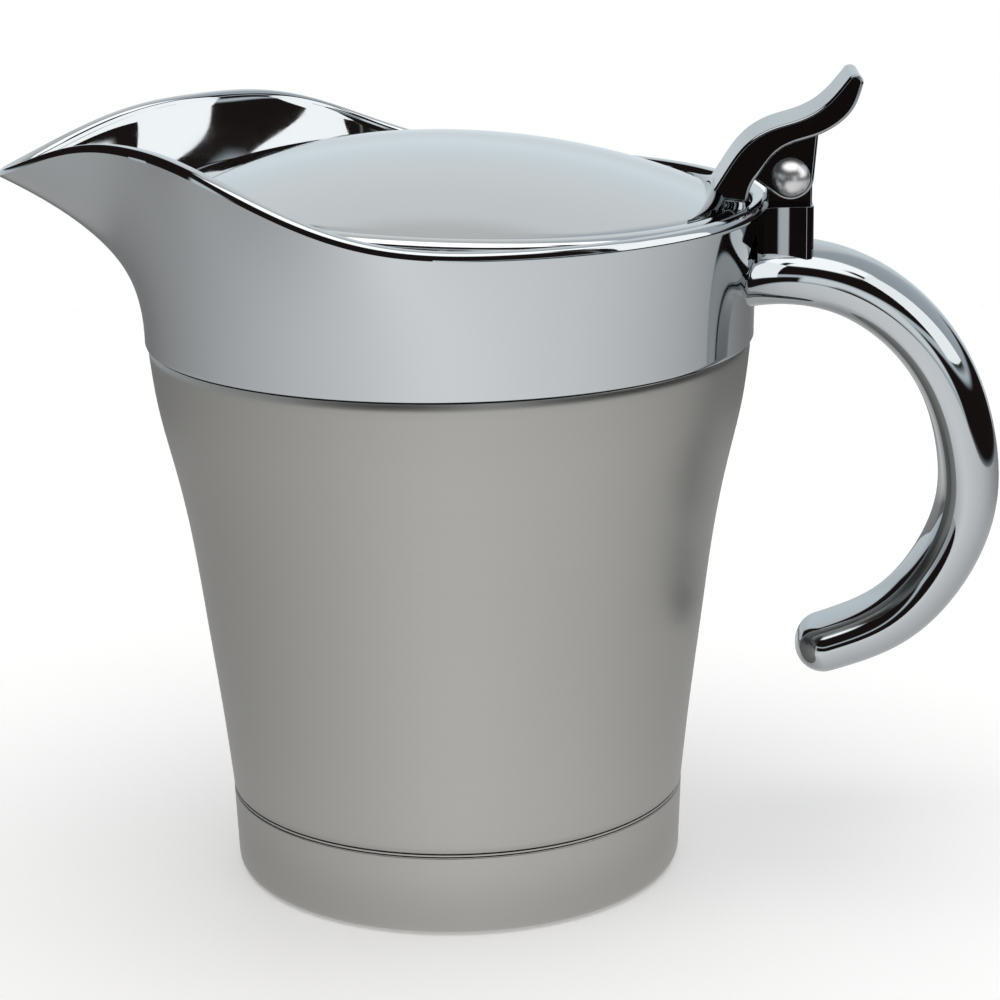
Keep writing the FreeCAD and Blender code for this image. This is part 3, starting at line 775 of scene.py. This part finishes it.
def make_post(handle):
    """Block seated on the handle's crown, with the hinge lug on top."""
    crown = BVHTree.FromObject(handle, bpy.context.evaluated_depsgraph_get())
    wall = collar_wall_radius(POST_TOP - 2)
    base = []
    top = []
    for x, y in post_plan():
        held = max(x, math.sqrt(max(wall ** 2 - y ** 2, 0)) - GAP)
        seat = Vector((max(held, POST_FLARE[-1][0]),
                       max(-POST_HALF_WIDTH, min(POST_HALF_WIDTH, y)), POST_TOP))
        hit = crown.ray_cast(seat * MM, Vector((0, 0, -1)))[0]
        base.append((held, y, hit.z / MM - GAP))
        top.append((held, y - math.copysign(POST_DRAFT, y), POST_TOP))
    block = skin([base, top], caps=True)
    angles = np.linspace(0, math.pi, 25)
    lug = [(PIN_X + LUG_RADIUS * math.cos(a), PIN_Z + LUG_RADIUS * math.sin(a)) for a in angles]
    lug += [(PIN_X - LUG_RADIUS, POST_TOP - 0.5), (PIN_X + LUG_RADIUS, POST_TOP - 0.5)]
    piece("post_block", [block], hinge_chrome, "vessel", ["hinge_post"], crease=18,
          bevel=0.5)
    piece("post_lug", [slab(lug, -LUG_HALF_WIDTH, LUG_HALF_WIDTH)], hinge_chrome, "vessel",
          bevel=0.3)


# ------------------------------------------------------------------ studio

def math_node(tree, operation, *values):
    return add_node(tree, "ShaderNodeMath", dict(enumerate(values)), operation=operation).outputs[0]


def ramp(tree, source, start, end, low=0.0, high=1.0):
    """Value that eases from low to high as the source goes from start to end."""
    mapped = add_node(tree, "ShaderNodeMapRange",
                      {"Value": source, "From Min": start, "From Max": end,
                       "To Min": low, "To Max": high}, interpolation_type="SMOOTHSTEP")
    return mapped.outputs["Result"]


def floor_glow(tree):
    """Painted brightness of the floor in reflections: a painted pool of light, high in front, painted
    dimming lower round to the back, a painted tilt lighter to the right and a painted contact shadow
    round the foot.
    """
    place = add_node(tree, "ShaderNodeTexCoord").outputs["Object"]
    parts = add_node(tree, "ShaderNodeSeparateXYZ", {"Vector": place})
    reach = add_node(tree, "ShaderNodeVectorMath", {0: place}, operation="LENGTH").outputs["Value"]
    facing = math_node(tree, "DIVIDE", parts.outputs["Y"], reach)
    front = math_node(tree, "MULTIPLY_ADD", facing, -0.5, 0.5)
    rear = math_node(tree, "SUBTRACT", 1.0, front)
    # painted pools of light: a wide one in front, a tight spot at the very front and a small one behind
    painted_light_pool = math_node(tree, "MULTIPLY", math_node(tree, "POWER", front, 1.3), 0.56)
    painted_light_spot = math_node(tree, "MULTIPLY", math_node(tree, "POWER", front, 30.0), 0.08)
    painted_rear_light_pool = math_node(tree, "MULTIPLY", math_node(tree, "POWER", rear, 20.0), 0.2)
    total = math_node(tree, "ADD", math_node(tree, "ADD", painted_light_pool, painted_light_spot), painted_rear_light_pool)
    total = math_node(tree, "MULTIPLY", math_node(tree, "ADD", total, 0.38), 1.3)
    # painted dimming of the far floor behind the object
    far = ramp(tree, reach, 0.2, 0.3, 0.0, 0.45)
    painted_rear_dimming = math_node(tree, "MULTIPLY", math_node(tree, "POWER", rear, 4.0), far)
    total = math_node(tree, "SUBTRACT", total, painted_rear_dimming)
    # painted tilt of the light: the floor is brighter to the right and darker to the left
    side = math_node(tree, "DIVIDE", parts.outputs["X"], reach)
    side = math_node(tree, "ADD", math_node(tree, "MULTIPLY", side, 0.1), 1.0)
    # painted contact shadow: the floor is darker in a ring round the foot
    painted_contact_shadow = ramp(tree, reach, 0.041, 0.07, 0.8, 1.0)
    return math_node(tree, "MULTIPLY", math_node(tree, "MULTIPLY", total, side), painted_contact_shadow)


def make_floor():
    """Pale lit table. Reflections see its glow, a painted pattern of light and shade, and everything else
    sees the paper.
    """
    bpy.ops.mesh.primitive_circle_add(vertices=128, radius=FLOOR_RADIUS, fill_type="NGON",
                                      location=(0, 0, cad_box[0].z))
    floor = bpy.context.object
    floor.name = "floor"
    material, tree, shader = new_material("floor_paper")
    shader.inputs["Base Color"].default_value = (0.80, 0.79, 0.775, 1)
    shader.inputs["Roughness"].default_value = 0.9
    shader.inputs["Specular IOR Level"].default_value = 0.1
    shader.inputs["Emission Color"].default_value = (1, 1, 1, 1)
    shader.inputs["Emission Strength"].default_value = 0.28
    glow = add_node(tree, "ShaderNodeEmission", {"Strength": floor_glow(tree)})
    path = add_node(tree, "ShaderNodeLightPath")
    choose = add_node(tree, "ShaderNodeMixShader",
                      {0: path.outputs["Is Glossy Ray"], 1: shader.outputs[0], 2: glow.outputs[0]})
    tree.links.new(choose.outputs[0], tree.nodes["Material Output"].inputs["Surface"])
    floor.data.materials.append(material)


def make_panel():
    """White panel to the right that only reflections see."""
    near, far = PANEL_Y
    low, high = PANEL_Z
    corners = [(PANEL_X, near, low), (PANEL_X, far, low), (PANEL_X, far, high),
               (PANEL_X, near, high)]
    mesh = bpy.data.meshes.new("side_panel")
    mesh.from_pydata(corners, [], [(0, 1, 2, 3)])
    panel = bpy.data.objects.new("side_panel", mesh)
    bpy.context.collection.objects.link(panel)
    material, tree, shader = new_material("panel_glow")
    glow = add_node(tree, "ShaderNodeEmission", {"Strength": 2.0})
    tree.links.new(glow.outputs[0], tree.nodes["Material Output"].inputs["Surface"])
    mesh.materials.append(material)
    for ray in ("camera", "diffuse", "shadow", "transmission"):
        setattr(panel, "visible_" + ray, False)


def make_world():
    """What the chrome reflects: a light tent, an overhead softbox and dark screens, by direction.

    The camera itself sees plain white."""
    world = bpy.data.worlds.new("tent")
    bpy.context.scene.world = world
    world.use_nodes = True
    tree = world.node_tree
    background = tree.nodes["Background"]
    place = add_node(tree, "ShaderNodeTexCoord")
    parts = add_node(tree, "ShaderNodeSeparateXYZ", {"Vector": place.outputs["Generated"]})
    back = math_node(tree, "MULTIPLY", parts.outputs["Y"], -1.0)
    azimuth = math_node(tree, "ARCTAN2", parts.outputs["X"], back)
    elevation = math_node(tree, "ARCSINE", parts.outputs["Z"])
    # angle round the X axis, from the camera-side horizon (0) over the top (90) to the far side (180)
    pitch = math_node(tree, "ARCTAN2", parts.outputs["Z"], back)

    def above(source, at, soft):
        return ramp(tree, source, math.radians(at - soft), math.radians(at + soft))

    def below(source, at, soft):
        return math_node(tree, "SUBTRACT", 1.0, above(source, at, soft))

    def between(source, low, high, soft):
        return math_node(tree, "MULTIPLY", above(source, low, soft), below(source, high, soft))

    def paint(under, colour, mask):
        mix = add_node(tree, "ShaderNodeMix", {0: mask, 6: under, 7: (*colour, 1)},
                       data_type="RGBA")
        return mix.outputs[2]

    def patch(under, colour, azimuths, elevations, soft):
        mask = math_node(tree, "MULTIPLY", between(azimuth, *azimuths, soft),
                         between(elevation, *elevations, soft))
        return paint(under, colour, mask)

    tent = paint((0.76, 0.83, 0.87, 1), (0.90, 1.00, 1.05), above(elevation, 9, 5))
    tent = paint(tent, (1.0, 1.02, 1.035), above(elevation, 24, 8))
    tent = paint(tent, (0.84, 0.84, 0.83), above(elevation, 48, 3))
    tent = patch(tent, (0.66, 0.72, 0.78), (105, 160), (-90, 90), 5)
    tent = patch(tent, (0.66, 0.69, 0.71), (-100, 10), (-90, 12), 3)
    tent = patch(tent, (1.35, 1.40, 1.42), (9, 26), (-6, 14), 3)
    softbox = math_node(tree, "MULTIPLY", above(elevation, 51, 2), below(pitch, 106, 3))
    tent = paint(tent, (2.3, 2.3, 2.3), softbox)
    screens = [((-158, -96), (5, 50)), ((-98, 60), (18, 50)), ((60, 106), (13, 50.5)),
               ((62, 76), (13, 60)), ((28, 150), (-10, 9)), ((-45, 9), (-30, 13))]
    for azimuths, elevations in screens:
        tent = patch(tent, (0.02, 0.014, 0.013), azimuths, elevations, 2)
    tree.links.new(tent, background.inputs["Color"])

    seen = add_node(tree, "ShaderNodeLightPath")
    plain = add_node(tree, "ShaderNodeBackground", {"Color": (1.0, 1.0, 1.0, 1)})
    choose = add_node(tree, "ShaderNodeMixShader",
                      {0: seen.outputs["Is Camera Ray"], 1: background.outputs[0],
                       2: plain.outputs[0]})
    tree.links.new(choose.outputs[0], tree.nodes["World Output"].inputs["Surface"])


def make_camera():
    """Camera slightly above, and a little towards the handle."""
    azimuth = math.radians(3.0)
    down = 0.272            # radians, as is the roll
    roll = 0.0141
    offset = Vector((-7.344, -62.52, 515.7)) * MM       # the origin as the camera sees it
    level = Matrix(((1, 0, 0), (0, math.sin(down), math.cos(down)),
                    (0, math.cos(down), -math.sin(down))))
    around = Matrix.Rotation(-azimuth, 3, "Z")
    bank = Matrix.Rotation(roll, 3, "Z")
    view = bank @ level @ around
    camera = bpy.data.objects.new("camera", bpy.data.cameras.new("camera"))
    bpy.context.collection.objects.link(camera)
    right, up, forward = (Vector(row) for row in view)
    axes = Matrix((right, up, -forward)).transposed()
    camera.matrix_world = Matrix.Translation(-(view.transposed() @ offset)) @ axes.to_4x4()
    camera.data.sensor_width = 36.0
    camera.data.lens = 102.755
    bpy.context.scene.camera = camera


def dress_kept_nodes():
    """Better materials for the CAD pieces that stay as they are."""
    finishes = {"handle_screws": screw_steel, "post_screw": screw_steel, "hinge_bush": nylon,
                "hinge_washers": nylon, "lever_screws": screw_steel}
    for name, material in finishes.items():
        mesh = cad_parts[name].data
        for i in range(len(mesh.materials)):
            mesh.materials[i] = material


make_camera()
make_floor()
make_panel()
make_world()
make_body()
make_foot()
make_liner()
make_seal()
make_collar()
c_handle = make_handle()
make_dome()
make_pan()
make_wing()
make_lever()
make_pin()
make_post(c_handle)
dress_kept_nodes()
bpy.context.scene.view_settings.view_transform = "Standard"
